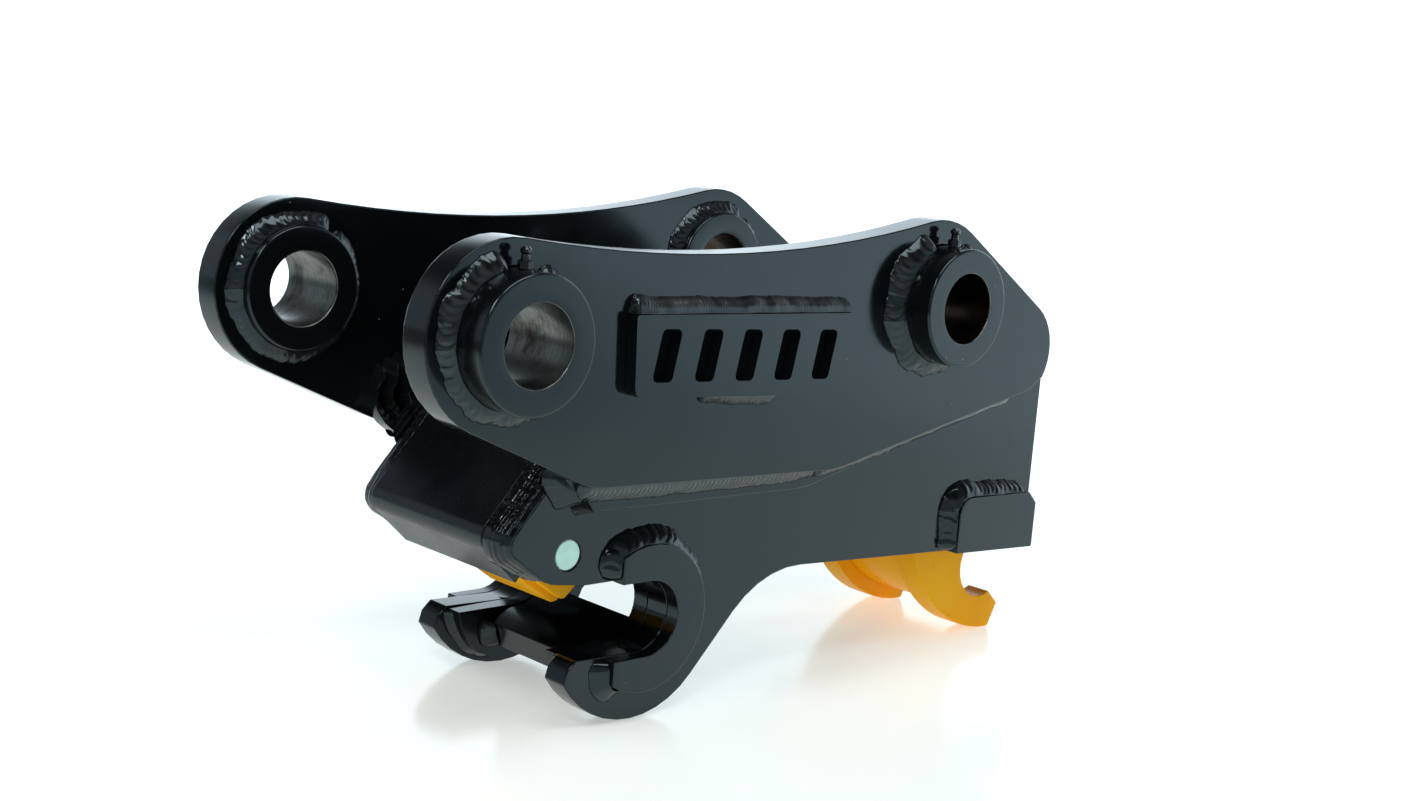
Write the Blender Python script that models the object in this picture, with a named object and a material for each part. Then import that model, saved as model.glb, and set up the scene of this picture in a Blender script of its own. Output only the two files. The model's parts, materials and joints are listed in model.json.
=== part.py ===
"""Hydraulic quick coupler for a midi excavator, built as separate welded, pinned and moving pieces.

+X runs to the rear (the latch end), +Y to the far side, +Z up.  The origin is the middle of the
base: the coupler stands on its two front hooks and on its rear latch.  Side outlines are drawn in
millimetres from a datum straight below the front dipper bore, at floor level.
"""
import math

import bmesh
import bpy
from mathutils import Vector

MM = 0.001
GAP = 0.3                       # clearance between neighbouring pieces

# Dipper and link bores (side view, mm)
FRONT_BORE = (0.0, 244.4)
REAR_BORE = (344.1, 256.1)
BORE_R = 22.5
BUSH_R = 27.5
BOSS_R = 37.8
BOSS_Y = (85.0, 140.8)

# Plate layers, measured outward from the symmetry plane (mm)
NAME_PLATE_Y = (115.8, 124.0)
EAR_Y = (95.5, 115.5)
SPACER_Y = (74.3, 95.2)
OUTER_CHEEK_Y = (74.3, 84.3)
BODY_Y = (56.0, 74.0)
INNER_CHEEK_Y = (43.7, 55.7)

# Ear outline
EAR_FRONT_R = 53.4
EAR_REAR_R = 54.0
EAR_SAG_R = 960.0
EAR_LOBE = (436.0, 221.0)
EAR_LOBE_R = 35.0
NAME_SLOTS = 5

# Front hooks
HOOK = (142.6, 65.5)
MOUTH_R = 23.3
HOOK_R = 65.5
OUTER_CHEEK_R = 46.0
INNER_CHEEK_R = 59.0

# Rear latch and its cylinder
LATCH_PIVOT = (425.0, 205.0)
LATCH_ARC = (517.0, 99.5)
LATCH_ARC_R = 99.5
LATCH_SEAT = (503.0, 50.0)
LATCH_SEAT_R = 25.0
LATCH_TIP_X = 525.5
LATCH_CHEEK_Y = (33.5, 52.5)
LEVER_DROP = 85.0               # the cylinder's line runs this far below the pivot
LEVER_LEAN = math.radians(9.0)
ROD_PIN = (LATCH_PIVOT[0] + LEVER_DROP * math.tan(LEVER_LEAN), LATCH_PIVOT[1] - LEVER_DROP)
ROD_PIN_R = 8.0
CYLINDER_REAR_X = 352.0
CYLINDER_FRONT_X = 176.0
BARREL_R = 31.0
BARREL_BORE_R = 24.0
ROD_R = 14.0

# Front safety latch
FRONT_PIVOT = (84.9, 108.8)
ZINC_PIN_R = 9.2

# The datum's place in the finished frame
X_SHIFT = -(LATCH_TIP_X - EAR_FRONT_R) / 2.0

PAINT = (0.012, 0.013, 0.014, 1.0)
YELLOW = (0.80, 0.36, 0.015, 1.0)
STEEL = (0.42, 0.39, 0.36, 1.0)
ZINC = (0.58, 0.74, 0.68, 1.0)
CHROME = (0.75, 0.76, 0.78, 1.0)
SEAL = (0.02, 0.02, 0.022, 1.0)


def clear_scene():
    for item in list(bpy.data.objects):
        bpy.data.objects.remove(item, do_unlink=True)


def material(name, colour, roughness, metallic):
    found = bpy.data.materials.get(name)
    if found:
        return found
    made = bpy.data.materials.new(name)
    made.use_nodes = True
    shader = made.node_tree.nodes["Principled BSDF"]
    shader.inputs["Base Color"].default_value = colour
    shader.inputs["Roughness"].default_value = roughness
    shader.inputs["Metallic"].default_value = metallic
    return made


def black_paint():
    return material("black_paint", PAINT, 0.32, 0.0)


def yellow_paint():
    return material("yellow_paint", YELLOW, 0.38, 0.0)


def bare_steel():
    return material("bare_steel", STEEL, 0.35, 1.0)


def zinc_plate():
    return material("zinc_plate", ZINC, 0.45, 0.6)


def hard_chrome():
    return material("hard_chrome", CHROME, 0.12, 1.0)


def seal_rubber():
    return material("seal_rubber", SEAL, 0.6, 0.0)


# ---------------------------------------------------------------- side-view outlines

def polar(centre, radius, degrees):
    angle = math.radians(degrees)
    return (centre[0] + radius * math.cos(angle), centre[1] + radius * math.sin(angle))


def arc(centre, radius, start, end, steps):
    return [polar(centre, radius, start + (end - start) * i / steps) for i in range(steps + 1)]


def circle(centre, radius, steps=24):
    return arc(centre, radius, 0.0, 360.0, steps)[:-1]


def fillet(before, corner, after, radius, steps=5):
    """Points that round one corner of an outline."""
    here = Vector(corner)
    to_before = (Vector(before) - here).normalized()
    to_after = (Vector(after) - here).normalized()
    half = to_before.angle(to_after) / 2.0
    reach = radius / math.tan(half)
    centre = here + (to_before + to_after).normalized() * (radius / math.sin(half))
    first = here + to_before * reach - centre
    last = here + to_after * reach - centre
    start = math.atan2(first.y, first.x)
    sweep = math.atan2(last.y, last.x) - start
    sweep = (sweep + math.pi) % (2.0 * math.pi) - math.pi
    angles = [start + sweep * i / steps for i in range(steps + 1)]
    return [(centre.x + radius * math.cos(a), centre.y + radius * math.sin(a)) for a in angles]


def rounded(corners, steps=5):
    """An outline from (x, z) points and (x, z, radius) corners."""
    points = []
    for i, corner in enumerate(corners):
        if len(corner) == 2:
            points.append(tuple(corner))
            continue
        before = corners[i - 1][:2]
        after = corners[(i + 1) % len(corners)][:2]
        points += fillet(before, corner[:2], after, corner[2], steps)
    return points


def direction(start, end):
    return math.degrees(math.atan2(end[1] - start[1], end[0] - start[0]))


def sag_centre():
    """Centre of the long concave arc that touches both round ends of the ear from outside."""
    a = Vector(FRONT_BORE)
    b = Vector(REAR_BORE)
    reach_a = EAR_SAG_R + EAR_FRONT_R
    reach_b = EAR_SAG_R + EAR_REAR_R
    span = (b - a).length
    along = (reach_a ** 2 - reach_b ** 2 + span ** 2) / (2.0 * span)
    up = math.sqrt(reach_a ** 2 - along ** 2)
    unit = (b - a) / span
    foot = a + unit * along
    return (foot.x - unit.y * up, foot.y + unit.x * up)


def ear_outline():
    top = sag_centre()
    front_touch = direction(FRONT_BORE, top)
    rear_touch = direction(REAR_BORE, top)
    shoulder = 57.5             # direction of the rear end's straight shoulder
    chin = 246.5                # direction of the straight chin under the front end
    outline = arc(REAR_BORE, EAR_REAR_R, shoulder, rear_touch, 5)
    outline += arc(top, EAR_SAG_R, rear_touch + 180.0, front_touch + 180.0, 14)
    outline += arc(FRONT_BORE, EAR_FRONT_R, front_touch, chin, 18)[1:]
    lower = rounded([
        outline[-1],
        (64.0, 158.5, 34.0),
        (262.0, 153.5, 80.0),
        (452.0, 194.0, 6.0),
        polar(EAR_LOBE, EAR_LOBE_R, -32.0),
    ])
    outline += lower[1:]
    outline += arc(EAR_LOBE, EAR_LOBE_R, -32.0, shoulder, 9)[1:]
    return outline


def body_outline():
    """Side plate with its front hook; counter-clockwise from the lip's tip."""
    outline = arc(HOOK, HOOK_R, 213.0, 270.0, 6)
    outline += arc(HOOK, HOOK_R, 270.0, 317.0, 5)[1:]
    heel = outline[-1]
    outline += rounded([
        heel,
        (247.2, 81.6, 75.0),
        (521.5, 68.1, 3.0),
        (521.5, 202.0, 10.0),
        (476.0, 202.0, 12.0),
        polar(LATCH_PIVOT, 33.0, -8.0),
    ])[1:-1]
    outline += arc(LATCH_PIVOT, 33.0, -8.0, 188.0, 11)
    outline += rounded([
        outline[-1],
        (380.0, 176.0, 20.0),
        (90.0, 176.0, 6.0),
        (38.2, 116.6, 9.0),
        (72.5, 92.4, 14.0),
        (100.0, HOOK[1] + MOUTH_R, 30.0),
        (HOOK[0], HOOK[1] + MOUTH_R),
    ])[1:-1]
    outline += arc(HOOK, MOUTH_R, 90.0, -90.0, 16)
    outline += [(96.2, 43.4), (90.0, 37.6)]
    return outline


def crescent(radius, upper_x, lower_end):
    """A C-shaped plate round the hook's mouth: square at upper_x, and lower_end runs out to its rim."""
    top = math.degrees(math.acos((upper_x - HOOK[0]) / radius))
    outline = list(lower_end)
    outline += arc(HOOK, radius, -90.0, top, 18)
    outline += [(upper_x, HOOK[1] + MOUTH_R)]
    outline += arc(HOOK, MOUTH_R, 90.0, -90.0, 16)
    return outline


# ---------------------------------------------------------------- solids

def finish(name, mesh_data, paint, smooth=True):
    bmesh.ops.remove_doubles(mesh_data, verts=mesh_data.verts, dist=1e-6)
    bmesh.ops.recalc_face_normals(mesh_data, faces=mesh_data.faces)
    mesh = bpy.data.meshes.new(name)
    mesh_data.to_mesh(mesh)
    mesh_data.free()
    if smooth:
        mesh.shade_smooth()
        mesh.set_sharp_from_angle(angle=math.radians(35.0))
    mesh.materials.append(paint)
    made = bpy.data.objects.new(name, mesh)
    bpy.context.collection.objects.link(made)
    return made


def place(x, y, z, pivot=None):
    """A side-view point as metres, in the finished frame or relative to a joint's axis."""
    if pivot is None:
        return Vector(((x + X_SHIFT) * MM, y * MM, z * MM))
    return Vector(((x - pivot[0]) * MM, y * MM, (z - pivot[1]) * MM))


def add_loop(data, points, y, pivot=None):
    verts = [data.verts.new(place(x, y, z, pivot)) for x, z in points]
    for i, vert in enumerate(verts):
        data.edges.new((vert, verts[(i + 1) % len(verts)]))
    return verts


def add_plate(data, outline, y_low, y_high, holes=(), pivot=None):
    """Extrude a side-view outline, with holes through it, across y_low to y_high."""
    own = bmesh.new()
    for loop in [outline, *holes]:
        add_loop(own, loop, y_low, pivot)
    bmesh.ops.triangle_fill(own, use_beauty=True, use_dissolve=False, edges=own.edges)
    grown = bmesh.ops.extrude_face_region(own, geom=own.faces[:])
    moved = [item for item in grown["geom"] if isinstance(item, bmesh.types.BMVert)]
    bmesh.ops.translate(own, verts=moved, vec=(0.0, (y_high - y_low) * MM, 0.0))
    bmesh.ops.recalc_face_normals(own, faces=own.faces)
    scratch = bpy.data.meshes.new("scratch")
    own.to_mesh(scratch)
    own.free()
    data.from_mesh(scratch)
    bpy.data.meshes.remove(scratch)


def plate(name, outline, y_low, y_high, paint, holes=()):
    data = bmesh.new()
    add_plate(data, outline, y_low, y_high, holes)
    return finish(name, data, paint)


def add_turned(data, centre, profile, axis, steps=32):
    """Turn a closed (along, radius) profile about an axis through centre; radius 0 is a pole."""
    along_axis = Vector(axis).normalized()
    side = along_axis.orthogonal().normalized()
    other = along_axis.cross(side)
    rings = []
    for along, radius in profile:
        base = Vector(centre) + along_axis * along
        if radius == 0.0:
            rings.append([data.verts.new(base * MM)])
            continue
        ring = []
        for i in range(steps):
            turn = 2.0 * math.pi * i / steps
            outward = side * math.cos(turn) + other * math.sin(turn)
            ring.append(data.verts.new((base + outward * radius) * MM))
        rings.append(ring)
    for i, low in enumerate(rings):
        high = rings[(i + 1) % len(rings)]
        if len(low) == 1 and len(high) == 1:
            continue
        for k in range(steps):
            n = (k + 1) % steps
            face = [low[k % len(low)], low[n % len(low)], high[n % len(high)], high[k % len(high)]]
            unique = list(dict.fromkeys(face))
            data.faces.new(unique)


def turned(name, centre, profile, axis, paint, steps=32):
    data = bmesh.new()
    add_turned(data, centre, profile, axis, steps)
    return finish(name, data, paint)


def at(point, y=0.0):
    return (point[0] + X_SHIFT, y, point[1])


def tube_profile(low, high, inner, outer, chamfer=1.0):
    return [
        (low, inner), (low, outer - chamfer), (low + chamfer, outer),
        (high - chamfer, outer), (high, outer - chamfer), (high, inner),
    ]


def shaft_profile(low, high, radius, chamfer=1.0):
    return [
        (low, 0.0), (low, radius - chamfer), (low + chamfer, radius),
        (high - chamfer, radius), (high, radius - chamfer), (high, 0.0),
    ]


SIDES = (("near", -1.0), ("far", 1.0))


def span(limits, sign):
    """Plate limits on one side, low y first."""
    return sorted((limits[0] * sign, limits[1] * sign))


# ---------------------------------------------------------------- welded frame

def ears():
    holes = [circle(FRONT_BORE, BOSS_R + GAP, 36), circle(REAR_BORE, BOSS_R + GAP, 36)]
    for side, sign in SIDES:
        plate(f"ear_plate_{side}", ear_outline(), *span(EAR_Y, sign), black_paint(), holes)


def bosses():
    for end, bore in (("front", FRONT_BORE), ("rear", REAR_BORE)):
        for side, sign in SIDES:
            low, high = span(BOSS_Y, sign)
            turned(f"pivot_boss_{end}_{side}", at(bore),
                   tube_profile(low, high, BUSH_R + GAP, BOSS_R, 1.5), (0, 1, 0), black_paint(), 36)
            turned(f"bore_bush_{end}_{side}", at(bore),
                   tube_profile(low, high, BORE_R, BUSH_R, 0.6), (0, 1, 0), bare_steel(), 36)


def grease_nipples():
    """Nipples on top of the bosses, outboard of the ears: hexagon, neck and ball end."""
    profile = [(0.0, 0.0), (0.0, 4.2), (4.0, 4.2), (4.6, 2.6), (7.4, 2.2), (8.4, 3.1), (10.0, 3.1),
               (11.4, 1.6), (11.4, 0.0)]
    for end, bore in (("front", FRONT_BORE), ("rear", REAR_BORE)):
        for side, sign in SIDES:
            foot = (bore[0] + X_SHIFT, sign * 124.5, bore[1] + BOSS_R + GAP)
            turned(f"grease_nipple_{end}_{side}", foot, profile, (0, 0, 1), zinc_plate(), 12)


def body_plates():
    pivot_hole = circle(LATCH_PIVOT, 20.0 + GAP, 28)
    pin_hole = circle(FRONT_PIVOT, ZINC_PIN_R + GAP, 24)
    for side, sign in SIDES:
        plate(f"side_plate_{side}", body_outline(), *span(BODY_Y, sign), black_paint(), [pivot_hole, pin_hole])


def spacers():
    """Packing plates that carry the ears outboard of the side plates, clear of the bucket's ears."""
    outline = rounded([
        (84.0, 139.0, 3.0),
        (258.0, 138.0, 60.0),
        (446.0, 184.0, 5.0),
        (438.0, 196.0, 4.0),
        (388.0, 172.8, 12.0),
        (88.0, 172.8, 3.0),
        (72.0, 156.0, 3.0),
    ])
    for side, sign in SIDES:
        plate(f"spacer_plate_{side}", outline, *span(SPACER_Y, sign), black_paint())


def hook_cheeks():
    """Doubler plates on both faces of each hook: square-ended outside, with a long toe inside."""
    mouth_floor = HOOK[1] - MOUTH_R
    square_x = 117.5
    square_end = [(square_x, mouth_floor)]
    low = -math.degrees(math.acos((square_x - HOOK[0]) / OUTER_CHEEK_R))
    square_end += arc(HOOK, OUTER_CHEEK_R, low, -90.0, 3)[:-1]
    toe = [(97.4, mouth_floor)]
    toe += [polar(HOOK, r, a) for r, a in ((53.9, -143.0), (57.0, -130.0), (59.3, -118.0), (59.3, -105.0))]
    for side, sign in SIDES:
        plate(f"hook_cheek_outer_{side}", crescent(OUTER_CHEEK_R, 120.0, square_end),
              *span(OUTER_CHEEK_Y, sign), black_paint())
        plate(f"hook_cheek_inner_{side}", crescent(INNER_CHEEK_R, 150.0, toe),
              *span(INNER_CHEEK_Y, sign), black_paint())


def rear_pads():
    outline = rounded([
        (431.0, 72.8), (517.5, 68.8, 1.5), (517.5, 102.0, 2.0), (508.5, 110.5, 2.0), (431.0, 112.5, 11.0),
    ])
    for side, sign in SIDES:
        plate(f"rear_pad_{side}", outline, *span(OUTER_CHEEK_Y, sign), black_paint())


def hook_seat():
    """The curved bar that joins both hooks and carries the bucket's front pin."""
    seat_r = MOUTH_R + 0.7
    outline = [(118.5, 34.5), (125.0, 18.5)]
    outline += arc(HOOK, 48.0, -104.0, -38.0, 8)
    outline += arc(HOOK, seat_r, -30.0, -90.0, 8)
    outline += [(134.5, 40.6), (126.5, 38.3)]
    width = INNER_CHEEK_Y[0] - GAP
    return plate("hook_seat", outline, -width, width, black_paint())


def crossmember():
    """Bent nose plate between the side plates, with its deck and its rounded lower fold."""
    thick = 12.0
    outer = rounded([
        (152.0, 182.0), (84.0, 182.0, 16.0), (30.5, 119.5, 11.0), (62.0, 90.5),
    ])
    inner = rounded([
        (62.0 + 8.0, 90.5 + 9.5), (47.0, 120.0, 4.0), (90.0, 182.0 - thick, 5.0), (152.0, 182.0 - thick),
    ])
    width = BODY_Y[0] - GAP
    return plate("front_crossmember", outer + inner, -width, width, black_paint())


def deck_and_rear():
    width = BODY_Y[0] - GAP
    deck = [(152.6, 170.0), (368.0, 170.0), (368.0, 179.0), (152.6, 179.0)]
    plate("deck_plate", deck, -width, width, black_paint())
    saddle = rounded([(488.0, 74.0, 2.0), (520.5, 74.0, 2.0), (520.5, 96.0, 2.0), (488.0, 96.0, 2.0)])
    plate("rear_saddle", saddle, -width, width, black_paint())
    tie = rounded([(508.5, 150.0, 2.0), (520.5, 150.0, 2.0), (520.5, 198.0, 2.0), (508.5, 198.0, 2.0)])
    plate("rear_tie_plate", tie, -width, width, black_paint())
    floor = [(206.0, 81.0), (352.0, 77.5), (352.0, 84.5), (206.0, 87.5)]
    plate("floor_plate", floor, -width, width, black_paint())


def name_plates():
    """Raised plates on the ears, cut through with a row of plain slanted slots."""
    outline = rounded([
        (82.5, 209.6, 6.0), (263.0, 203.5, 6.0), (257.0, 253.3, 5.0), (80.0, 256.2, 2.0),
    ], 3)
    slots = []
    for i in range(NAME_SLOTS):
        x = 94.0 + i * 32.0
        z = 218.0 - i * 1.0
        corners = [(x, z, 3.0), (x + 15.0, z - 0.5, 3.0), (x + 21.0, z + 29.5, 3.0), (x + 6.0, z + 30.0, 3.0)]
        slots.append(rounded(corners, 2))
    for side, sign in SIDES:
        plate(f"name_plate_{side}", outline, *span(NAME_PLATE_Y, sign), black_paint(), slots)


# ---------------------------------------------------------------- rear latch

def latch_cheek_outline():
    low = math.degrees(math.acos((417.8 - LATCH_ARC[0]) / LATCH_ARC_R))
    outline = arc(LATCH_PIVOT, 29.0, 10.0, 178.0, 9)
    outline += [(401.0, 150.0)]
    outline += arc(LATCH_ARC, LATCH_ARC_R, 360.0 - low, 270.0, 14)
    outline += [(LATCH_TIP_X, 17.0)]
    tip_angle = direction(LATCH_SEAT, (514.0, 27.5))
    outline += arc(LATCH_SEAT, LATCH_SEAT_R, tip_angle, -212.0, 12)
    outline += [(474.0, 100.0), (464.0, 160.0)]
    return outline


def lever_slot():
    """Radial slot that the rod pin rides in; the pin moves straight while the lever swings."""
    lean = LEVER_LEAN
    unit = Vector((math.sin(lean), -math.cos(lean)))
    side = Vector((unit.y, -unit.x))
    reach = LEVER_DROP / math.cos(lean)
    half = ROD_PIN_R + 0.35
    ends = (reach - 2.6, reach + 1.2)
    points = []
    for centre_at, first in ((ends[1], 0.0), (ends[0], math.pi)):
        centre = Vector(LATCH_PIVOT) + unit * centre_at
        for i in range(9):
            turn = first + math.pi * i / 8.0
            spot = centre + side * (half * math.cos(turn)) + unit * (half * math.sin(turn))
            points.append((spot.x, spot.y))
    return points


def rear_latch():
    holes = [circle(LATCH_PIVOT, 15.0 + GAP, 28), lever_slot()]
    for side, sign in SIDES:
        plate(f"latch_cheek_{side}", latch_cheek_outline(), *span(LATCH_CHEEK_Y, sign), yellow_paint(), holes)
    web = arc(LATCH_ARC, LATCH_ARC_R - 11.0, 186.0, 266.0, 12)
    web += arc(LATCH_SEAT, LATCH_SEAT_R + 1.0, -72.0, -196.0, 11)
    web += [(460.0, 92.0)]
    width = LATCH_CHEEK_Y[0] - GAP
    plate("latch_web", web, -width, width, yellow_paint())


def trunnions():
    """Flanged stub pins fitted from between the cheeks, turning in bushes in the side plates."""
    for side, sign in SIDES:
        flange = LATCH_CHEEK_Y[0] - GAP
        profile = [(flange - 8.0, 0.0), (flange - 8.0, 24.0), (flange - 7.0, 25.0), (flange, 25.0),
                   (flange, 15.0), (BODY_Y[1] - 1.0, 15.0), (BODY_Y[1], 14.0), (BODY_Y[1], 0.0)]
        profile = [(along * sign, radius) for along, radius in profile]
        turned(f"latch_trunnion_{side}", at(LATCH_PIVOT), profile, (0, 1, 0), bare_steel(), 32)
        low, high = span((BODY_Y[0] - 2.5, BODY_Y[1]), sign)
        turned(f"trunnion_bush_{side}", at(LATCH_PIVOT), tube_profile(low, high, 15.08, 20.0, 0.5), (0, 1, 0),
               material("bronze", (0.55, 0.36, 0.14, 1.0), 0.35, 1.0), 32)
        head = flange - 8.0 - GAP
        shape = [(head - 5.0, 0.0), (head - 5.0, 4.4), (head - 4.4, 5.0), (head, 5.0), (head, 0.0)]
        turned(f"trunnion_bolt_{side}", at(polar(LATCH_PIVOT, 18.0, 90.0)),
               [(along * sign, radius) for along, radius in shape], (0, 1, 0), zinc_plate(), 12)


# ---------------------------------------------------------------- hydraulic cylinder

def cylinder():
    line_z = ROD_PIN[1]
    centre = (X_SHIFT, 0.0, line_z)
    along = (1, 0, 0)
    front = CYLINDER_FRONT_X
    rear = CYLINDER_REAR_X
    barrel = [(front, 0.0), (front, BARREL_R - 2.0), (front + 2.0, BARREL_R), (rear, BARREL_R),
              (rear, BARREL_BORE_R), (front + 14.0, BARREL_BORE_R), (front + 14.0, 0.0)]
    turned("cylinder_barrel", centre, barrel, along, black_paint(), 40)
    gland = [(rear - 22.0, ROD_R + 0.08), (rear - 22.0, BARREL_BORE_R - GAP), (rear + GAP, BARREL_BORE_R - GAP),
             (rear + GAP, BARREL_R - 1.0), (rear + 9.0, BARREL_R - 1.0), (rear + 10.0, BARREL_R - 2.0),
             (rear + 10.0, ROD_R + 4.3), (rear + 5.0, ROD_R + 4.3), (rear + 5.0, ROD_R + 0.08)]
    turned("cylinder_gland", centre, gland, along, bare_steel(), 40)
    wiper = [(rear + 5.0 + GAP, ROD_R + 0.3), (rear + 5.0 + GAP, ROD_R + 4.0), (rear + 9.6, ROD_R + 4.0),
             (rear + 11.0, ROD_R + 0.3)]
    turned("rod_wiper", centre, wiper, along, seal_rubber(), 32)
    face = rear - 64.0
    piston = [(face, 7.3), (face, BARREL_BORE_R - 1.1), (face + 1.0, BARREL_BORE_R - 0.1),
              (face + 9.0, BARREL_BORE_R - 0.1), (face + 9.0, BARREL_BORE_R - 2.1),
              (face + 14.0, BARREL_BORE_R - 2.1), (face + 14.0, BARREL_BORE_R - 0.1),
              (face + 23.0, BARREL_BORE_R - 0.1), (face + 24.0, BARREL_BORE_R - 1.1), (face + 24.0, 7.3)]
    turned("cylinder_piston", centre, piston, along, bare_steel(), 40)
    seal = tube_profile(face + 9.0 + GAP, face + 14.0 - GAP, BARREL_BORE_R - 1.8, BARREL_BORE_R - 0.1, 0.3)
    turned("piston_seal", centre, seal, along, seal_rubber(), 40)
    eye_front = ROD_PIN[0] - 15.0
    rod = [(face - 12.0, 0.0), (face - 12.0, 6.0), (face - 11.0, 7.0), (face + 24.0 + GAP, 7.0),
           (face + 24.0 + GAP, ROD_R), (eye_front - GAP - 1.0, ROD_R), (eye_front - GAP, ROD_R - 1.0),
           (eye_front - GAP, 0.0)]
    turned("cylinder_rod", centre, rod, along, hard_chrome(), 32)
    nut = [(face - 9.0, 8.5), (face - 9.0, 13.5), (face - GAP, 13.5), (face - GAP, 8.5)]
    turned("piston_nut", centre, nut, along, bare_steel(), 6)
    eye = rounded([(eye_front, line_z - 14.0, 3.0), (eye_front + 12.0, line_z - 16.0, 8.0),
                   (ROD_PIN[0] + 16.0, line_z - 16.0, 14.0), (ROD_PIN[0] + 16.0, line_z + 16.0, 14.0),
                   (eye_front + 12.0, line_z + 16.0, 8.0), (eye_front, line_z + 14.0, 3.0)])
    plate("rod_eye", eye, -22.0, 22.0, bare_steel(), [circle(ROD_PIN, ROD_PIN_R + 0.3, 24)])
    turned("rod_pin", at(ROD_PIN), shaft_profile(-49.0, 49.0, ROD_PIN_R), (0, 1, 0), zinc_plate(), 24)


def cylinder_mounts():
    """Two half-round saddles on the floor plate carry the barrel."""
    line_z = ROD_PIN[1]
    inner = BARREL_R + GAP
    width = BODY_Y[0] - 2.0 * GAP
    for name, x_low in (("front", 212.0), ("rear", 316.0)):
        data = bmesh.new()
        foot_z = 87.5 + GAP
        add_saddle(data, x_low, x_low + 18.0, inner, width, foot_z, line_z)
        finish(f"cylinder_saddle_{name}", data, black_paint())


def add_saddle(data, x_low, x_high, inner, half_width, foot_z, line_z):
    """A block across the body with a half-round seat for the barrel."""
    points = [(-half_width, foot_z), (half_width, foot_z), (half_width, line_z)]
    points += [(inner * math.cos(math.radians(a)), line_z + inner * math.sin(math.radians(a)))
               for a in range(0, -181, -15)]
    points += [(-half_width, line_z)]
    low = [data.verts.new(((x_low + X_SHIFT) * MM, y * MM, z * MM)) for y, z in points]
    high = [data.verts.new(((x_high + X_SHIFT) * MM, y * MM, z * MM)) for y, z in points]
    data.faces.new(low)
    data.faces.new(high)
    for i in range(len(points)):
        n = (i + 1) % len(points)
        data.faces.new((low[i], low[n], high[n], high[i]))


# ---------------------------------------------------------------- front safety latch

def front_latch():
    """Spring-loaded flap that closes the hooks' mouth in front of the bucket's pin."""
    hub = arc(FRONT_PIVOT, 16.0, 20.0, 190.0, 8)
    outline = hub + [(80.0, 87.5), (110.5, 66.2), (115.0, 66.5), (127.0, 79.5), (112.0, 104.0)]
    plate("front_latch_flap", outline, -30.0, 30.0, yellow_paint(), [circle(FRONT_PIVOT, ZINC_PIN_R + 0.15, 24)])
    cheek = hub + [(81.5, 90.5), (111.0, 70.5), (114.0, 70.8), (124.0, 80.0), (110.0, 104.0)]
    for side, sign in SIDES:
        plate(f"front_latch_lug_{side}", cheek, *span((30.3, 39.0), sign), yellow_paint(),
              [circle(FRONT_PIVOT, ZINC_PIN_R + 0.15, 24)])
    turned("front_latch_pin", at(FRONT_PIVOT), shaft_profile(-73.4, 73.4, ZINC_PIN_R, 0.6), (0, 1, 0),
           zinc_plate(), 32)


def spring_path(low, turns, radius, steps_per_turn=12):
    """Centre line of a torsion spring: a helix with two short tangent legs."""
    total = int(turns * steps_per_turn)
    pitch = 3.9
    points = []
    for i in range(total + 1):
        turn = 2.0 * math.pi * i / steps_per_turn
        points.append(Vector((radius * math.cos(turn), low + pitch * i / steps_per_turn, radius * math.sin(turn))))
    points.insert(0, points[0] + Vector((0.0, 0.0, -16.0)))
    points.append(points[-1] + (points[-1] - points[-2]).normalized() * 16.0)
    return points


def add_wire(data, points, radius, sides=6):
    """A closed round wire along a path, with flat ends."""
    rings = []
    up = Vector((0.0, 1.0, 0.0))
    for i, point in enumerate(points):
        ahead = points[min(i + 1, len(points) - 1)]
        behind = points[max(i - 1, 0)]
        tangent = (ahead - behind).normalized()
        side = tangent.cross(up).normalized()
        other = side.cross(tangent)
        ring = []
        for k in range(sides):
            turn = 2.0 * math.pi * k / sides
            spot = point + (side * math.cos(turn) + other * math.sin(turn)) * radius
            ring.append(data.verts.new(place(spot.x, spot.y, spot.z)))
        rings.append(ring)
    for low, high in zip(rings[:-1], rings[1:]):
        for k in range(sides):
            n = (k + 1) % sides
            data.faces.new((low[k], low[n], high[n], high[k]))
    data.faces.new(rings[0])
    data.faces.new(rings[-1])


def front_latch_springs():
    for side, sign in SIDES:
        centre = Vector((FRONT_PIVOT[0], 0.0, FRONT_PIVOT[1]))
        points = [centre + Vector((p.x, p.y * sign, p.z)) for p in spring_path(42.0, 2.25, 11.9)]
        data = bmesh.new()
        add_wire(data, points, 1.5)
        finish(f"front_latch_spring_{side}", data, bare_steel())


def valve_block():
    """Plain lock valve block on top of the barrel."""
    data = bmesh.new()
    block = rounded([(232.0, 151.6, 1.5), (272.0, 151.6, 1.5), (272.0, 168.6, 1.5), (232.0, 168.6, 1.5)], 2)
    add_plate(data, block, -24.0, 24.0)
    finish("lock_valve_block", data, zinc_plate())


def build():
    clear_scene()
    ears()
    bosses()
    grease_nipples()
    body_plates()
    spacers()
    hook_cheeks()
    rear_pads()
    hook_seat()
    crossmember()
    deck_and_rear()
    name_plates()
    rear_latch()
    trunnions()
    cylinder()
    cylinder_mounts()
    front_latch()
    front_latch_springs()
    valve_block()


build()
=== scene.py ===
"""Looks for the quick coupler: paint, bare metal, weld beads and eased plate edges.

Side-view places are in millimetres, as in the CAD: X from the front bore's axis, Z from the floor.
P() turns them into metres in the row frame.
"""
import json
import math

import bmesh
import bpy
from mathutils import Matrix, Vector, noise

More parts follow.
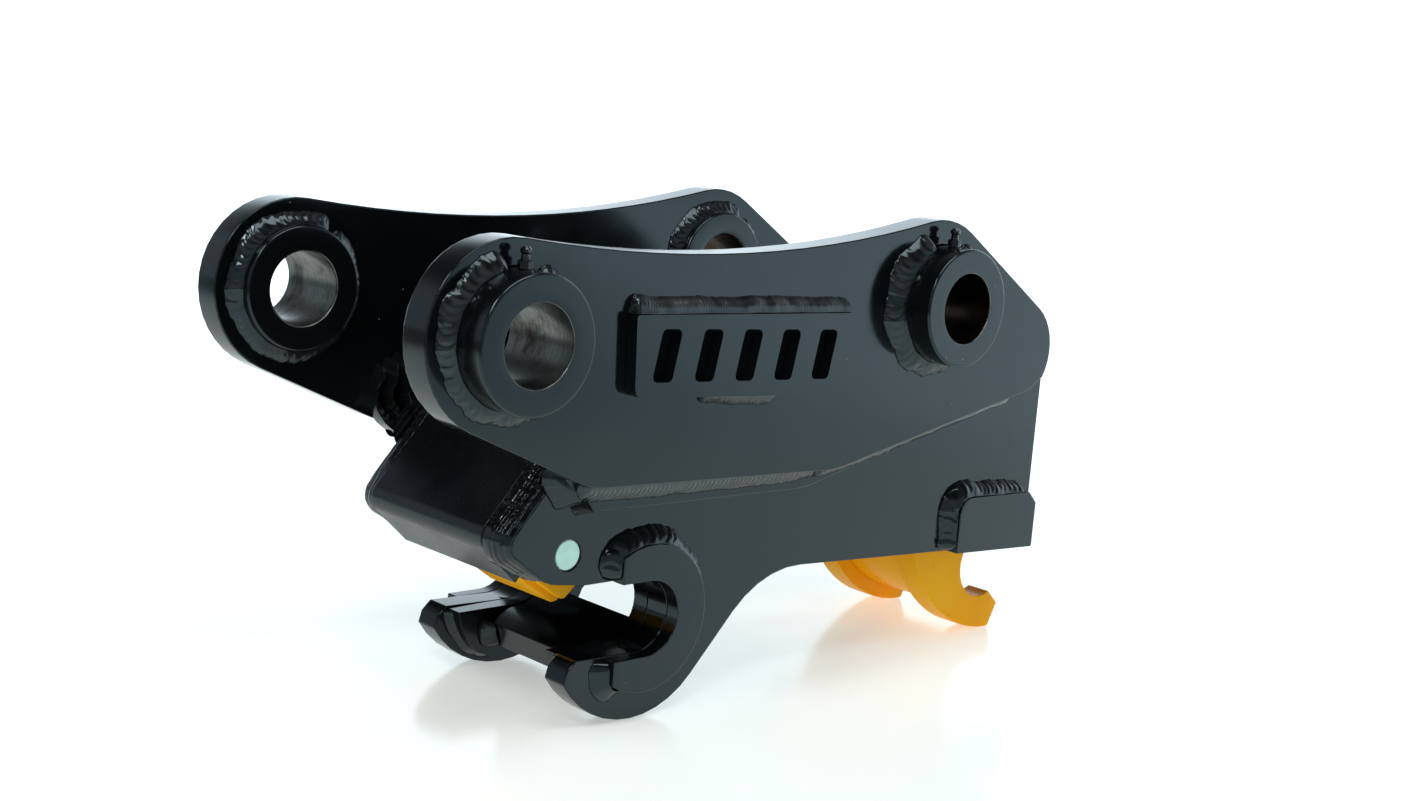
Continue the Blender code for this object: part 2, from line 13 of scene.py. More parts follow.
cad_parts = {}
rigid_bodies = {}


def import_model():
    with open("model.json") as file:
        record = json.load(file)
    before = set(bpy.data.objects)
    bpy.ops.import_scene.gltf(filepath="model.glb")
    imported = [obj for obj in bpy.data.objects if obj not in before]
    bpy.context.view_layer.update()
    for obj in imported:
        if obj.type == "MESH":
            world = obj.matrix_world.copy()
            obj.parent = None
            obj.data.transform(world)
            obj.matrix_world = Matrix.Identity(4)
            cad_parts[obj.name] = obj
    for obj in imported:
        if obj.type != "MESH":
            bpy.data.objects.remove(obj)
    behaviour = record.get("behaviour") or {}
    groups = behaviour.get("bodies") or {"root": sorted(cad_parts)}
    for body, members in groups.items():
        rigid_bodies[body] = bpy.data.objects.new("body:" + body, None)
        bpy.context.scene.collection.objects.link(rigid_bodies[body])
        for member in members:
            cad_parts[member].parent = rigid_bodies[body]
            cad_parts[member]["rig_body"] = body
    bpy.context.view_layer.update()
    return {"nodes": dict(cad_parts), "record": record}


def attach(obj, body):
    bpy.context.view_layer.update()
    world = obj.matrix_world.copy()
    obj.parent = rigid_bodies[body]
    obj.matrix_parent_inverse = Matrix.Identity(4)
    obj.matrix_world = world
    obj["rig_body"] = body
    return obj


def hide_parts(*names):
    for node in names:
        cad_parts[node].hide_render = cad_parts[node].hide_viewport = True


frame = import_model()
NODES = frame["nodes"]

MM = 0.001
X_SHIFT = -236.05               # the front bore axis's place along X in the row frame
SIDES = (("near", -1.0), ("far", 1.0))

FRONT_BORE = (0.0, 244.4)
REAR_BORE = (344.1, 256.1)
BORE_R = 22.5
BUSH_R = 27.5
BOSS_R = 37.8
BOSS_Y = (85.0, 140.8)
EAR_Y = (95.5, 115.5)
SPACER_FACE_Y = 95.2
BODY_FACE_Y = 74.0
BODY_INNER_Y = 56.0
HOOK = (142.6, 65.5)

BOSS_WELD_R = BOSS_R - 0.1              # boss beads are rooted just inside the boss
GUSSET_WELD_Y = EAR_Y[0] - 0.2
SEAT_WELD_Y = 43.5

TURN_STEPS = 96                         # facets round a boss or bush
EASE_SEGMENTS = 2
FLAT_ANGLE = math.radians(1.0)          # faces closer than this to one plane are joined
EDGE_ANGLE = math.radians(32.0)         # edges sharper than this are eased
SMOOTH_ANGLE = math.radians(50.0)       # edges sharper than this stay sharp in the shading


def P(x, y, z):
    return Vector(((x + X_SHIFT) * MM, y * MM, z * MM))


def link(obj):
    bpy.context.scene.collection.objects.link(obj)
    return obj


# ------------ materials

class Tree:
    """A small wrapper for building a node material."""

    def __init__(self, name):
        self.material = bpy.data.materials.new(name)
        self.material.use_nodes = True
        self.nodes = self.material.node_tree.nodes
        self.links = self.material.node_tree.links
        self.shader = self.nodes["Principled BSDF"]
        self.where = self.nodes.new("ShaderNodeTexCoord").outputs["Object"]

    def scaled(self, scale):
        node = self.nodes.new("ShaderNodeMapping")
        node.inputs["Scale"].default_value = scale
        self.links.new(self.where, node.inputs["Vector"])
        return node.outputs["Vector"]

    def noise(self, scale, detail=2.0, rough=0.5, vector=None):
        node = self.nodes.new("ShaderNodeTexNoise")
        node.inputs["Scale"].default_value = scale
        node.inputs["Detail"].default_value = detail
        node.inputs["Roughness"].default_value = rough
        self.links.new(vector or self.where, node.inputs["Vector"])
        return node.outputs["Fac"]

    def voronoi(self, scale, output="Distance"):
        node = self.nodes.new("ShaderNodeTexVoronoi")
        node.inputs["Scale"].default_value = scale
        self.links.new(self.where, node.inputs["Vector"])
        return node.outputs[output]

    def ramp(self, source, low, high, to_low=0.0, to_high=1.0, smooth=True):
        node = self.nodes.new("ShaderNodeMapRange")
        node.interpolation_type = "SMOOTHSTEP" if smooth else "LINEAR"
        node.inputs["From Min"].default_value = low
        node.inputs["From Max"].default_value = high
        node.inputs["To Min"].default_value = to_low
        node.inputs["To Max"].default_value = to_high
        self.links.new(source, node.inputs["Value"])
        return node.outputs["Result"]

    def math(self, operation, a, b):
        node = self.nodes.new("ShaderNodeMath")
        node.operation = operation
        for socket, value in zip(node.inputs, (a, b)):
            if isinstance(value, float):
                socket.default_value = value
            else:
                self.links.new(value, socket)
        return node.outputs["Value"]

    def mix(self, factor, a, b):
        node = self.nodes.new("ShaderNodeMix")
        node.data_type = "RGBA"
        self.links.new(factor, node.inputs["Factor"])
        for socket, value in zip((node.inputs[6], node.inputs[7]), (a, b)):
            if isinstance(value, tuple):
                socket.default_value = value
            else:
                self.links.new(value, socket)
        return node.outputs[2]

    def bump(self, height, distance, strength, under=None):
        node = self.nodes.new("ShaderNodeBump")
        node.inputs["Distance"].default_value = distance
        node.inputs["Strength"].default_value = strength
        self.links.new(height, node.inputs["Height"])
        if under is not None:
            self.links.new(under, node.inputs["Normal"])
        return node.outputs["Normal"]

    def set(self, **values):
        for name, value in values.items():
            socket = self.shader.inputs[name.replace("_", " ")]
            if isinstance(value, (float, tuple)):
                socket.default_value = value
            else:
                self.links.new(value, socket)
        return self.material


def specks(tree, scale, size, share):
    """Small scattered dots: 1 on a dot, 0 elsewhere. share is the part of cells that hold one."""
    dot = tree.ramp(tree.voronoi(scale), size, size * 0.6)
    cell = tree.nodes.new("ShaderNodeSeparateColor")
    tree.links.new(tree.voronoi(scale, "Color"), cell.inputs["Color"])
    chosen = tree.ramp(cell.outputs["Red"], 1.0 - share, 1.0 - share + 0.01)
    return tree.math("MULTIPLY", dot, chosen)


COOL_SHEEN = (0.72, 0.93, 1.0, 1.0)
BLACK = (0.0026, 0.0031, 0.0038)
BLACK_DUST = (0.30, 0.32, 0.32, 1.0)
WELD_DARK = (0.0026, 0.0030, 0.0036, 1.0)
WELD_PALE = (0.0060, 0.0066, 0.0074, 1.0)
# painted highlight: the lighter grey laid along weld ripple crests
WELD_CREST_HIGHLIGHT = (0.060, 0.066, 0.066, 1.0)
AMBER_DEEP = (0.97, 0.40, 0.002, 1.0)
AMBER_LIGHT = (0.98, 0.48, 0.006, 1.0)
CHIP_BROWN = (0.10, 0.06, 0.03, 1.0)
PIT_BROWN = (0.03, 0.022, 0.016, 1.0)
RUBBER_DARK = (0.014, 0.014, 0.015, 1.0)
RUBBER_PALE = (0.028, 0.027, 0.027, 1.0)
STAIN_AT = 0.46                         # blotch level at which a bore's stains begin


def black_paint(name, gloss=0.11, peel=1.0):
    """Sprayed black: orange peel, faint plate waviness, dust nibs and a patchy sheen."""
    tree = Tree(name)
    cloud = tree.noise(9.0, 3.0)
    colour = tree.mix(tree.ramp(cloud, 0.35, 0.7), tuple(c * 0.8 for c in BLACK) + (1.0,),
                      tuple(c * 1.3 for c in BLACK) + (1.0,))
    nibs = specks(tree, 120.0, 0.05, 0.07)
    colour = tree.mix(nibs, colour, BLACK_DUST)
    film = tree.noise(38.0, 4.0, 0.6)
    rough = tree.ramp(film, 0.3, 0.75, gloss - 0.03, gloss + 0.06, smooth=False)
    waves = tree.bump(tree.noise(26.0, 2.0), 0.00025, 0.45)
    peel_bump = tree.bump(tree.noise(620.0, 2.0), 0.000012 * peel, 1.0, waves)
    nib_bump = tree.bump(nibs, 0.00015, 0.6, peel_bump)
    return tree.set(Base_Color=colour, Roughness=rough, Normal=nib_bump, Specular_Tint=COOL_SHEEN)


def weld_paint(name, gloss):
    """Paint pooled over weld metal, with soft sags, a few pits and a painted highlight along the
    crests.
    """
    tree = Tree(name)
    blotch = tree.noise(55.0, 3.0)
    colour = tree.mix(tree.ramp(blotch, 0.3, 0.7), WELD_DARK, WELD_PALE)
    # painted highlight: the crest attribute lightens the ripple crests towards grey
    crest_highlight_node = tree.nodes.new("ShaderNodeAttribute")
    crest_highlight_node.attribute_name = "crest_highlight"
    colour = tree.mix(crest_highlight_node.outputs["Fac"], colour, WELD_CREST_HIGHLIGHT)
    pits = specks(tree, 170.0, 0.10, 0.05)
    rough = tree.ramp(tree.noise(70.0, 3.0), 0.3, 0.7, gloss - 0.04, gloss + 0.08, smooth=False)
    sags = tree.bump(tree.noise(75.0, 2.0), 0.00022, 0.6)
    pitted = tree.bump(tree.math("SUBTRACT", 1.0, pits), 0.00012, 0.6, sags)
    return tree.set(Base_Color=colour, Roughness=rough, Normal=pitted, Specular_Tint=COOL_SHEEN)


def yellow_paint(name):
    """Amber enamel with orange peel, faint dirt in patches and a few dark chips."""
    tree = Tree(name)
    cloud = tree.noise(14.0, 4.0, 0.6)
    colour = tree.mix(tree.ramp(cloud, 0.3, 0.75), AMBER_DEEP, AMBER_LIGHT)
    chips = specks(tree, 90.0, 0.09, 0.05)
    colour = tree.mix(chips, colour, CHIP_BROWN)
    rough = tree.ramp(tree.noise(45.0, 3.0), 0.3, 0.7, 0.24, 0.36, smooth=False)
    waves = tree.bump(tree.noise(30.0, 2.0), 0.0002, 0.6)
    peel = tree.bump(tree.noise(700.0, 2.0), 0.000018, 1.0, waves)
    return tree.set(Base_Color=colour, Roughness=rough, Normal=peel, Specular_IOR_Level=0.08)


def bored_steel(name, clean, stain):
    """Machined bore: turning marks round the axis, light pitting and oily brown stains."""
    tree = Tree(name)
    marks = tree.noise(1.0, 3.0, 0.65, tree.scaled((26.0, 2600.0, 26.0)))
    scores = tree.noise(1.0, 2.0, 0.6, tree.scaled((420.0, 40.0, 420.0)))
    blotch = tree.noise(42.0, 5.0, 0.65)
    pits = specks(tree, 420.0, 0.22, 0.10)
    stained = tree.ramp(blotch, STAIN_AT, STAIN_AT + 0.22)
    colour = tree.mix(stained, clean, stain)
    colour = tree.mix(pits, colour, PIT_BROWN)
    groove = tuple(c * 0.6 for c in stain[:3]) + (1.0,)
    colour = tree.mix(tree.ramp(marks, 0.42, 0.62, 0.0, 0.35), colour, groove)
    rough = tree.ramp(tree.math("ADD", blotch, marks), 0.7, 1.3, 0.18, 0.40, smooth=False)
    turned = tree.bump(marks, 0.00003, 0.7)
    scored = tree.bump(scores, 0.00003, 0.5, turned)
    return tree.set(Base_Color=colour, Roughness=rough, Metallic=1.0, Normal=scored)


def plated(name, base, dull, rough_low, rough_high, metallic):
    """Electroplated part: faint cloudy passivation and fine turning marks."""
    tree = Tree(name)
    colour = tree.mix(tree.ramp(tree.noise(160.0, 3.0), 0.35, 0.7), base, dull)
    rough = tree.ramp(tree.noise(300.0, 2.0), 0.3, 0.7, rough_low, rough_high, smooth=False)
    turned = tree.bump(tree.noise(1.0, 2.0, 0.6, tree.scaled((1500.0, 90.0, 1500.0))), 0.00002, 0.6)
    return tree.set(Base_Color=colour, Roughness=rough, Metallic=metallic, Normal=turned)


def rubber(name):
    tree = Tree(name)
    colour = tree.mix(tree.noise(260.0, 3.0), RUBBER_DARK, RUBBER_PALE)
    grain = tree.bump(tree.noise(1600.0, 3.0), 0.00003, 0.8)
    return tree.set(Base_Color=colour, Roughness=0.62, Normal=grain)


PLATE = black_paint("plate_paint")
MACHINED = black_paint("boss_paint", 0.15, 0.6)
WELD = weld_paint("weld_paint", 0.12)
HOOK_PAINT = black_paint("hook_paint", 0.18, 1.2)
NOSE_PAINT = black_paint("nose_paint", 0.27)
YELLOW = yellow_paint("latch_paint")
STEEL = bored_steel("bore_steel", (0.17, 0.185, 0.175, 1.0), (0.040, 0.036, 0.030, 1.0))
OILED = bored_steel("oiled_bore_steel", (0.060, 0.042, 0.034, 1.0), (0.034, 0.021, 0.010, 1.0))
RIM = plated("rim_steel", (0.16, 0.165, 0.155, 1.0), (0.09, 0.09, 0.08, 1.0), 0.24, 0.4, 1.0)
ZINC = plated("zinc_passivate", (0.64, 0.96, 0.87, 1.0), (0.56, 0.88, 0.78, 1.0), 0.34, 0.50, 0.05)
NIPPLE = plated("nipple_steel", (0.085, 0.09, 0.095, 1.0), (0.02, 0.02, 0.022, 1.0),
                0.14, 0.26, 1.0)
CHROME = plated("rod_chrome", (0.72, 0.73, 0.75, 1.0), (0.62, 0.63, 0.66, 1.0), 0.08, 0.14, 1.0)
BRONZE = plated("bush_bronze", (0.55, 0.34, 0.13, 1.0), (0.36, 0.20, 0.07, 1.0), 0.28, 0.42, 1.0)
RUBBER = rubber("seal_rubber_grain")

SLOT_PAINT = {
    "black_paint": PLATE, "yellow_paint": YELLOW, "bare_steel": RIM, "zinc_plate": ZINC,
    "bronze": BRONZE, "hard_chrome": CHROME, "seal_rubber": RUBBER,
}


# ------------ eased copies of the CAD plates

def body_of(node):
    return NODES[node]["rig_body"]


def slot_of(node):
    return next(p["material_slot"] for p in frame["record"]["subparts"] if p["node"] == node)


def ease(node, width, paint):
    """A copy of a CAD node with its sharp edges eased, which stands for the node."""
    data = bmesh.new()
    data.from_mesh(NODES[node].data)
    bmesh.ops.remove_doubles(data, verts=data.verts, dist=1e-6)
    bmesh.ops.dissolve_limit(data, angle_limit=FLAT_ANGLE, verts=data.verts, edges=data.edges)
    sharp = [e for e in data.edges
             if len(e.link_faces) == 2 and e.calc_face_angle(0.0) > EDGE_ANGLE]
    bmesh.ops.bevel(data, geom=sharp, offset=width * MM, segments=EASE_SEGMENTS, profile=0.6,
                    affect="EDGES", clamp_overlap=True)
    bmesh.ops.triangulate(data, faces=[f for f in data.faces if len(f.verts) > 4])
    mesh = bpy.data.meshes.new(f"eased_{node}")
    data.to_mesh(mesh)
    data.free()
    mesh.materials.clear()
    mesh.materials.append(paint)
    mesh.shade_smooth()
    mesh.set_sharp_from_angle(angle=SMOOTH_ANGLE)
    piece = link(bpy.data.objects.new(f"eased_{node}", mesh))
    weighted = piece.modifiers.new("face_weighted", "WEIGHTED_NORMAL")
    weighted.keep_sharp = True
    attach(piece, body_of(node))
    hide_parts(node)
    return piece


for side, sign in SIDES:
    ease(f"ear_plate_{side}", 0.9, PLATE)
    ease(f"side_plate_{side}", 0.9, PLATE)
    ease(f"spacer_plate_{side}", 1.0, PLATE)
    ease(f"hook_cheek_outer_{side}", 0.8, HOOK_PAINT)
    ease(f"hook_cheek_inner_{side}", 0.8, HOOK_PAINT)
    ease(f"rear_pad_{side}", 0.7, PLATE)
    ease(f"name_plate_{side}", 0.5, PLATE)
    ease(f"latch_cheek_{side}", 0.8, YELLOW)
    ease(f"front_latch_lug_{side}", 0.5, YELLOW)
ease("front_crossmember", 0.6, NOSE_PAINT)
ease("hook_seat", 0.7, HOOK_PAINT)
ease("latch_web", 0.6, YELLOW)
ease("front_latch_flap", 0.6, YELLOW)


# ------------ bosses and bushes

def lathe(name, centre, profile, bands):
    """Turn a closed (y, radius) profile about a bore's axis; bands picks each segment's material."""
    data = bmesh.new()
    rings = []
    for y, radius in profile:
        ring = []
        for i in range(TURN_STEPS):
            turn = 2.0 * math.pi * i / TURN_STEPS
            ring.append(data.verts.new(P(centre[0] + radius * math.cos(turn), y,
                                         centre[1] + radius * math.sin(turn))))
        rings.append(ring)
    for i, low in enumerate(rings):
        high = rings[(i + 1) % len(rings)]
        for k in range(TURN_STEPS):
            n = (k + 1) % TURN_STEPS
            face = data.faces.new((low[k], low[n], high[n], high[k]))
            face.material_index = bands[i]
            face.smooth = True
    bmesh.ops.recalc_face_normals(data, faces=data.faces)
    mesh = bpy.data.meshes.new(name)
    data.to_mesh(mesh)
    data.free()
    mesh.set_sharp_from_angle(angle=SMOOTH_ANGLE)
    piece = link(bpy.data.objects.new(name, mesh))
    weighted = piece.modifiers.new("face_weighted", "WEIGHTED_NORMAL")
    weighted.keep_sharp = True
    return piece


def bossed(end, bore, side, sign, steel):
    """One boss and its bush, turned smoothly, which stand for the faceted CAD nodes."""
    inner, outer = (v * sign for v in BOSS_Y)
    boss = [(inner, BUSH_R + 0.04), (inner, BOSS_R - 1.5), (inner + 0.5 * sign, BOSS_R - 0.6),
            (inner + 1.5 * sign, BOSS_R), (outer - 1.5 * sign, BOSS_R),
            (outer - 0.9 * sign, BOSS_R - 0.15), (outer - 0.35 * sign, BOSS_R - 0.6),
            (outer - 0.1 * sign, BOSS_R - 1.1), (outer, BOSS_R - 1.9), (outer, BUSH_R + 0.04)]
    piece = lathe(f"boss_shell_{end}_{side}", bore, boss, [0] * len(boss))
    piece.data.materials.append(MACHINED)
    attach(piece, "frame")
    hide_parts(f"pivot_boss_{end}_{side}")
    bush = [(inner, BORE_R + 1.0), (inner, BUSH_R), (outer, BUSH_R), (outer, BORE_R + 0.55),
            (outer - 0.2 * sign, BORE_R + 0.2), (outer - 0.9 * sign, BORE_R),
            (inner + 1.0 * sign, BORE_R)]
    piece = lathe(f"bush_shell_{end}_{side}", bore, bush, [0, 0, 0, 1, 1, 2, 1])
    for material in (MACHINED, RIM, steel):
        piece.data.materials.append(material)
    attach(piece, "frame")
    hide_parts(f"bore_bush_{end}_{side}")


for side, sign in SIDES:
    bossed("front", FRONT_BORE, side, sign, STEEL)
    bossed("rear", REAR_BORE, side, sign, OILED)


# ------------ weld beads

def even_points(points, step):
    """Evenly spaced points along a smooth line through the given ones, and their spacing."""
    fine = []
    for i in range(len(points) - 1):
        p0 = points[max(i - 1, 0)]
        p1 = points[i]
        p2 = points[i + 1]
        p3 = points[min(i + 2, len(points) - 1)]
        for k in range(24):
            t = k / 24.0
            fine.append(0.5 * (2.0 * p1 + (p2 - p0) * t
                               + (2.0 * p0 - 5.0 * p1 + 4.0 * p2 - p3) * t * t
                               + (3.0 * p1 - p0 - 3.0 * p2 + p3) * t ** 3))
    fine.append(points[-1])
    total = sum((b - a).length for a, b in zip(fine[:-1], fine[1:]))
    count = max(8, int(total / step))
    even = []
    run = 0.0
    k = 0
    for i in range(count + 1):
        target = total * i / count
        while k < len(fine) - 2 and run + (fine[k + 1] - fine[k]).length < target:
            run += (fine[k + 1] - fine[k]).length
            k += 1
        leg = (fine[k + 1] - fine[k]).length
        even.append(fine[k].lerp(fine[k + 1], min(1.0, (target - run) / leg) if leg else 0.0))
    return even, total / count


def fillet(crown):
    """Cross-section between two toes; crown 0 reaches the root, 0.5 is flat, more bulges."""
    def section(a, b, t):
        return a * (1.0 - t) ** 2 + (a + b) * crown * 2.0 * t * (1.0 - t) + b * t * t
    return section


def bead(name, points, sign, wide, tall, section, pitch, ripple, seed, lumps, turn=1.0, end=1.2,
         across=14, step=0.45, highlight=0.14):
    """A weld bead along a line in the plane of a plate, in millimetres.

    wide(share) is how far the bead spreads over the plate, to the side of the path that turn picks,
    and tall(share) how far it climbs the other plate, towards sign along Y. section shapes the bead
    between those two toes. Ripples are curved across the bead and spaced by pitch; lumps scales the
    slow unevenness of a hand-laid bead; end sets how long its rounded ends are; across and step set
    how finely it is meshed; the last argument sets how strongly a painted highlight
    lightens the crests.
    """
    path, gap = even_points([Vector(p) for p in points], step)
    length = gap * (len(path) - 1)
    data = bmesh.new()
    crest_highlight = data.verts.layers.float.new("crest_highlight")
    rows = []
    phase = 0.0
    for i, root in enumerate(path):
        along = i * gap
        share = along / length
        ahead = path[min(i + 3, len(path) - 1)] - path[max(i - 3, 0)]
        aside = Vector((ahead.z, 0.0, -ahead.x)).normalized() * turn
        left = min(along, length - along)
        reach = 0.5 * wide(share) * end
        grow = max(0.05, math.sqrt(max(0.0, 1.0 - (1.0 - min(1.0, left / reach)) ** 2)))
        slow = noise.noise(Vector((along * 0.07, seed * 3.7, 0.3)))
        quick = noise.noise(Vector((along * 0.28, seed * 1.3, 5.1)))
        other = noise.noise(Vector((along * 0.10, seed * 5.1, 7.7)))
        a = aside * (wide(share) * grow * (1.0 + lumps * (slow + 0.35 * quick)))
        b = Vector((0.0, sign, 0.0)) * (tall(share) * grow * (1.0 + 0.5 * lumps * other))
        width = (a - b).length
        out = (a + b).normalized()
        uneven = noise.noise(Vector((along * 0.2, seed * 9.1, 2.2)))
        phase += gap / (pitch * (1.0 + 0.45 * uneven))
        strength = 0.70 + 0.9 * noise.noise(Vector((along * 0.13, seed * 7.7, 9.3)))
        row = []
        for j in range(across + 1):
            t = j / across
            window = math.sin(math.pi * t) ** 0.8 if 0 < j < across else 0.0
            bowed = phase + (2.0 * t - 1.0) ** 2 * width * 0.34 / pitch
            scallop = abs(math.sin(math.pi * bowed)) ** 0.8 - 0.6
            swell = noise.noise(Vector((along * 0.22, t * 2.2 + seed, 1.7)))
            lift = window * grow * (ripple * strength * scallop + lumps * 0.9 * swell)
            point = root + section(a, b, t) + out * (lift - 0.07 * (1.0 - window))
            vert = data.verts.new(P(*point))
            # painted highlight: how much this crest is lightened, scaled by the bead's last argument
            vert[crest_highlight] = highlight * window * strength * max(0.0, (scallop + 0.6) ** 2)
            row.append(vert)
        row.append(data.verts.new(P(*(root - out * 0.5))))
        rows.append(row)
    for low, high in zip(rows[:-1], rows[1:]):
        for j in range(across + 2):
            n = (j + 1) % (across + 2)
            face = data.faces.new((low[j], low[n], high[n], high[j]))
            face.smooth = j < across
    for row in (rows[0], rows[-1]):
        data.faces.new(row)
    bmesh.ops.recalc_face_normals(data, faces=data.faces)
    mesh = bpy.data.meshes.new(name)
    data.to_mesh(mesh)
    data.free()
    mesh.materials.append(WELD)
    piece = link(bpy.data.objects.new(name, mesh))
    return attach(piece, "frame")


def level(value):
    return lambda share: value


def ramped(*stops):
    """A value that changes along a bead, from (share, value) stops."""
    def at(share):
        for (s0, v0), (s1, v1) in zip(stops[:-1], stops[1:]):
            if share <= s1:
                t = max(0.0, (share - s0) / (s1 - s0))
                t = t * t * (3.0 - 2.0 * t)
                return v0 + (v1 - v0) * t
        return stops[-1][1]
    return at


def ring(centre, radius, start, finish, y, count=40):
    points = []
    for i in range(count + 1):
        turn = math.radians(start + (finish - start) * i / count)
        points.append((centre[0] + radius * math.cos(turn), y, centre[1] + radius * math.sin(turn)))
    return points


def flatwise(line, y):
    return [(x, y, z) for x, z in line]


def boss_welds():
    for side, sign in SIDES:
        face = EAR_Y[1] * sign
        back = EAR_Y[0] * sign
        bead(f"weld_boss_front_{side}", ring(FRONT_BORE, BOSS_WELD_R, 98.0, 426.0, face), sign,
             ramped((0.0, 9.6), (0.12, 11.0), (0.3, 9.0), (0.6, 9.4), (1.0, 8.0)), level(6.5),
             section=fillet(0.66), pitch=4.6, ripple=0.30, highlight=0.40, seed=11.0 + sign, lumps=0.32,
             end=1.6)
        bead(f"weld_boss_rear_{side}", ring(REAR_BORE, BOSS_WELD_R, 106.0, 424.0, face), sign,
             ramped((0.0, 11.0), (0.15, 14.0), (0.35, 12.5), (0.6, 9.5), (1.0, 8.5)), level(8.0),
             section=fillet(0.64), pitch=5.2, ripple=0.28, highlight=0.35, seed=17.0 + sign, lumps=0.32,
             end=1.6)
        for end, bore, seed in (("front", FRONT_BORE, 23.0), ("rear", REAR_BORE, 29.0)):
            bead(f"weld_boss_inner_{end}_{side}", ring(bore, BOSS_WELD_R, 58.0, 414.0, back), -sign,
                 ramped((0.0, 8.0), (0.2, 9.6), (0.5, 8.6), (1.0, 7.6)), level(6.5),
                 section=fillet(0.66), pitch=4.2, ripple=0.32, highlight=0.25, seed=seed + sign,
                 lumps=0.26, end=1.6)


def ear_welds():
    """The long ripple weld under each ear and the plainer one under its packing plate."""
    lower = [(69.0, 156.7), (96.0, 155.8), (124.0, 155.3), (188.0, 154.3), (234.0, 153.6),
             (262.0, 155.8), (284.0, 159.2)]
    rising = [(256.0, 155.0), (290.0, 160.2), (323.0, 166.9), (380.0, 178.8), (442.0, 191.7)]
    under = [(84.5, 139.2), (120.0, 138.7), (170.0, 138.4), (225.0, 138.2), (258.0, 141.5),
             (300.0, 151.0), (360.0, 164.4), (436.0, 181.4)]
    front = [(87.0, 171.5), (78.0, 163.0), (73.0, 156.0), (78.0, 148.0), (84.0, 140.0)]
    for side, sign in SIDES:
        bead(f"weld_ear_lower_{side}", flatwise(lower, SPACER_FACE_Y * sign), sign,
             ramped((0.0, 9.0), (0.1, 11.5), (1.0, 11.0)), ramped((0.0, 8.5), (0.8, 8.5), (1.0, 12.0)),
             section=fillet(0.58), pitch=3.4, ripple=0.55, highlight=0.9, seed=31.0 + sign, lumps=0.08,
             step=0.4)
        bead(f"weld_ear_rising_{side}", flatwise(rising, SPACER_FACE_Y * sign), sign,
             ramped((0.0, 11.0), (1.0, 10.0)), ramped((0.0, 13.0), (0.2, 17.0), (1.0, 16.0)),
             section=fillet(0.86), pitch=3.4, ripple=0.45, highlight=1.1, seed=35.0 + sign, lumps=0.08,
             step=0.4)
        bead(f"weld_spacer_lower_{side}", flatwise(under, BODY_FACE_Y * sign), sign,
             ramped((0.0, 6.5), (0.35, 4.5), (0.55, 2.8), (1.0, 2.4)),
             ramped((0.0, 13.0), (0.4, 9.0), (1.0, 6.0)),
             section=fillet(0.30), pitch=3.6, ripple=0.06, seed=37.0 + sign, lumps=0.12)
        bead(f"weld_spacer_front_{side}", flatwise(front, BODY_FACE_Y * sign), sign,
             level(12.0), level(14.0), section=fillet(0.46), pitch=5.0, ripple=0.06,
             seed=39.0 + sign, lumps=0.12)


def hook_welds():
    outer = [(120.0, 89.6), (119.8, 97.0), (120.6, 103.0), (125.0, 107.6)]
    outer += [(x, z) for x, _, z in ring(HOOK, 45.8, 106.0, -76.0, 0.0, 24)]
    low_end = [(133.0, 20.6), (124.0, 22.0), (118.6, 26.0), (117.4, 33.0), (117.3, 41.6)]
    inner = [(x, z) for x, _, z in ring(HOOK, 58.0, 70.0, -96.0, 0.0, 24)]
    inner += [(125.5, 8.8), (115.0, 13.4), (106.2, 21.8), (99.7, 33.0), (97.4, 41.5)]
    for side, sign in SIDES:
        bead(f"weld_hook_outer_{side}", flatwise(outer, BODY_FACE_Y * sign), sign,
             ramped((0.0, 9.5), (0.1, 11.0), (0.25, 10.5), (0.42, 8.5), (0.6, 6.0), (0.8, 4.0),
                    (1.0, 3.0)),
             ramped((0.0, 9.0), (0.2, 9.6), (0.5, 9.0), (0.8, 6.5), (1.0, 4.0)),
             section=fillet(0.68), turn=-1.0, pitch=5.4, ripple=0.60, seed=41.0 + sign, lumps=0.30,
             end=1.7)
        bead(f"weld_hook_low_{side}", flatwise(low_end, BODY_FACE_Y * sign), sign,
             ramped((0.0, 4.0), (0.4, 9.0), (1.0, 13.0)), ramped((0.0, 3.0), (0.4, 7.0), (1.0, 8.6)),
             section=fillet(0.50), turn=-1.0, pitch=6.0, ripple=0.14, seed=47.0 + sign, lumps=0.25,
             end=1.3)
        bead(f"weld_hook_inner_{side}", flatwise(inner, BODY_INNER_Y * sign), -sign,
             level(3.6), level(6.0), section=fillet(0.50), turn=-1.0, pitch=5.0, ripple=0.14,
             seed=49.0 + sign, lumps=0.25, end=0.8)


def pad_welds():
    line = [(430.9, 73.6), (430.8, 84.0), (430.8, 98.0), (431.8, 106.0), (436.0, 111.2),
            (444.0, 112.4), (462.0, 111.9), (485.0, 111.3), (506.0, 110.8)]
    for side, sign in SIDES:
        bead(f"weld_pad_{side}", flatwise(line, BODY_FACE_Y * sign), sign,
             ramped((0.0, 10.0), (0.4, 11.5), (0.6, 9.5), (1.0, 8.0)), level(9.6),
             section=fillet(0.66), turn=-1.0, pitch=5.2, ripple=0.34, seed=53.0 + sign, lumps=0.24)


